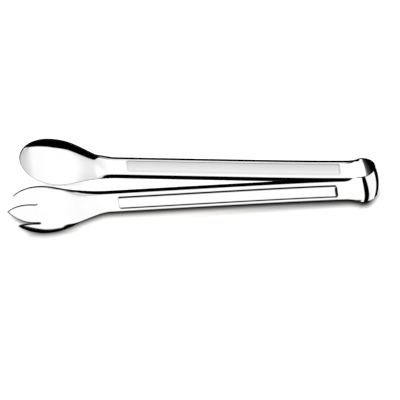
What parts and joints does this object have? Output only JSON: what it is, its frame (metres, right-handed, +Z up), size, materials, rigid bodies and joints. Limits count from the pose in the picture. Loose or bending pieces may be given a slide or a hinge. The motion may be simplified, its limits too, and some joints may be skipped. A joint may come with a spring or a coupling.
{
  "type": "salad tongs",
  "caption": "Spring salad tongs of polished sheet steel: a spoon and a fork on channel handles joined by a U-shaped bow, squeezed together to grip food.",
  "frame": {"origin": "bottom centre of the bounding box, on the table that the tongs lie on", "axes": "+X along the tongs towards the spring bow, +Y towards the spoon, +Z up; the tongs lie on their side, tipped 2.6 degrees about Y so that both heads and the bow's rim touch the table"},
  "size_m": [0.2794, 0.0702, 0.0466],
  "materials": {
    "polished_steel": "mirror polished, satin inside the handle panels"
  },
  "bodies": {
    "bow": {"spring_bow": "polished_steel"},
    "spoon": {"spoon_arm": "polished_steel"},
    "fork": {"fork_arm": "polished_steel"}
  },
  "joints": [
    {"name": "spoon_close", "type": "hinge", "parent": "bow", "child": "spoon", "pos_m": [0.13439, 0.00589, 0.01196], "axis": [0.0458, 0, 0.9989], "range_deg": [0, 5], "stiffness_Nm_per_rad": 8},
    {"name": "fork_close", "type": "hinge", "parent": "bow", "child": "fork", "pos_m": [0.13439, -0.00964, 0.01196], "axis": [-0.0458, 0, -0.9989], "range_deg": [0, 5], "stiffness_Nm_per_rad": 8}
  ],
  "couplings": [
    {"joint": "fork_close", "follows": "spoon_close", "ratio": 1}
  ]
}
